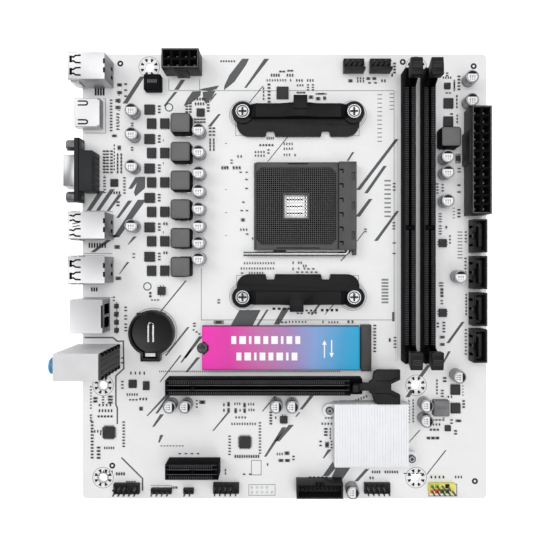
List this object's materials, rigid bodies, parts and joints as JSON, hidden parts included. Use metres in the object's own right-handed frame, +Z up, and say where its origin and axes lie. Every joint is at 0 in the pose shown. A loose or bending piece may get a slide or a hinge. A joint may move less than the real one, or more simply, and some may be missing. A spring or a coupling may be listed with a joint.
{
  "type": "motherboard",
  "caption": "Compact white desktop computer motherboard with a lever processor socket, memory and card slots, a storage card and rear panel ports.",
  "frame": {"origin": "axis of the standoff hole in the rear lower corner, at mid thickness of the board there", "axes": "+Z up from the component side, +X from the rear connectors to the front edge, +Y towards the edge with the processor power plug"},
  "size_m": [0.2059, 0.2199, 0.0371],
  "materials": {
    "board_laminate": "satin white solder mask with dark grey print",
    "solder": "bright tin",
    "socket_plastic": "fine matte charcoal",
    "lever_steel": "polished",
    "plate_steel": "zinc plated",
    "bracket_plastic": "fine matte black",
    "screw_steel": "nickel plated",
    "slot_plastic": "satin black",
    "latch_plastic": "matte dark grey",
    "connector_brown": "satin dark grey brown",
    "card_laminate": "black solder mask",
    "card_label": "printed film, magenta to cyan",
    "standoff_brass": "machined",
    "chip_epoxy": "matte moulded epoxy",
    "heatsink_white": "white powder coat",
    "holder_plastic": "gloss black",
    "contact_metal": "bright plated spring metal",
    "connector_black": "satin black",
    "panel_header_plastic": "coloured by function",
    "fan_header_plastic": "satin black",
    "pin_gold": "gold flash",
    "pin_tin": "tin plated",
    "port_nickel": "bright nickel sheet",
    "port_core_plastic": "satin black",
    "port_core_blue": "satin blue",
    "vga_plastic": "satin dark blue black",
    "audio_plastic": "satin pale grey",
    "collar_plastic": "satin, one colour per jack",
    "capacitor_can": "bright drawn can with a printed sector",
    "choke_ferrite": "satin pressed ferrite",
    "inductor_ferrite": "matte pressed ferrite",
    "passive_ceramic": "ceramic with tinned ends"
  },
  "bodies": {
    "board": {"pcb": "board_laminate", "solder_joints": "solder", "socket_base": "socket_plastic", "cooler_backplate": "plate_steel", "cooler_bracket_upper": "bracket_plastic", "cooler_bracket_lower": "bracket_plastic", "bracket_screws": "screw_steel", "dimm_slot_inner": "slot_plastic", "dimm_slot_outer": "slot_plastic", "pcie_x16_slot": "slot_plastic", "pcie_x1_slot": "slot_plastic", "m2_connector": "connector_brown", "m2_card": "card_laminate", "m2_card_label": "card_label", "m2_standoff": "standoff_brass", "m2_screw": "screw_steel", "chipset": "chip_epoxy", "chipset_heatsink": "heatsink_white", "heatsink_screws": "screw_steel", "battery_holder": "holder_plastic", "battery_contacts": "contact_metal", "eps_power_connector": "connector_black", "atx_power_connector": "connector_black", "pin_header_bases": "connector_black", "front_panel_header": "panel_header_plastic", "usb3_header": "connector_black", "fan_headers": "fan_header_plastic", "header_pins": "pin_gold", "connector_pins": "pin_tin", "sata_port_1": "connector_black", "sata_port_2": "connector_black", "sata_port_3": "connector_black", "sata_port_4": "connector_black", "usb2_upper_shell": "port_nickel", "usb3_shell": "port_nickel", "usb2_lower_shell": "port_nickel", "usb2_cores": "port_core_plastic", "usb3_core": "port_core_blue", "hdmi_shell": "port_nickel", "hdmi_core": "port_core_plastic", "vga_body": "vga_plastic", "vga_shell": "port_nickel", "vga_nuts": "screw_steel", "lan_shell": "port_nickel", "lan_core": "port_core_plastic", "audio_housing": "audio_plastic", "audio_collars": "collar_plastic", "capacitors": "capacitor_can", "vrm_chokes": "choke_ferrite", "small_inductors": "inductor_ferrite", "mosfets": "chip_epoxy", "chips": "chip_epoxy", "smd_passives": "passive_ceramic"},
    "lever": {"socket_lever": "lever_steel"},
    "cover": {"socket_cover": "socket_plastic"},
    "card_latch": {"pcie_x16_latch": "latch_plastic"},
    "inner_upper_latch": {"dimm_slot_inner_upper_latch": "latch_plastic"},
    "inner_lower_latch": {"dimm_slot_inner_lower_latch": "latch_plastic"},
    "outer_upper_latch": {"dimm_slot_outer_upper_latch": "latch_plastic"},
    "outer_lower_latch": {"dimm_slot_outer_lower_latch": "latch_plastic"}
  },
  "joints": [
    {"name": "lever_swing", "type": "hinge", "parent": "board", "child": "lever", "pos_m": [0.12084, 0.13405, 0.005], "axis": [0, 1, 0], "range_deg": [0, 90]},
    {"name": "cover_slide", "type": "slide", "parent": "board", "child": "cover", "axis": [-1, 0, 0], "range_m": [0, 0.001]},
    {"name": "card_latch_press", "type": "hinge", "parent": "board", "child": "card_latch", "pos_m": [0.12424, 0.04665, 0.0061], "axis": [0, 1, 0], "range_deg": [0, 15]},
    {"name": "inner_upper_latch_swing", "type": "hinge", "parent": "board", "child": "inner_upper_latch", "pos_m": [0.15014, 0.19655, 0.0061], "axis": [-1, 0, 0], "range_deg": [0, 28]},
    {"name": "inner_lower_latch_swing", "type": "hinge", "parent": "board", "child": "inner_lower_latch", "pos_m": [0.15014, 0.06095, 0.0061], "axis": [1, 0, 0], "range_deg": [0, 28]},
    {"name": "outer_upper_latch_swing", "type": "hinge", "parent": "board", "child": "outer_upper_latch", "pos_m": [0.15964, 0.19655, 0.0061], "axis": [-1, 0, 0], "range_deg": [0, 28]},
    {"name": "outer_lower_latch_swing", "type": "hinge", "parent": "board", "child": "outer_lower_latch", "pos_m": [0.15964, 0.06095, 0.0061], "axis": [1, 0, 0], "range_deg": [0, 28]}
  ],
  "couplings": [
    {"joint": "cover_slide", "follows": "lever_swing", "m_per_rad": 0.00063}
  ]
}
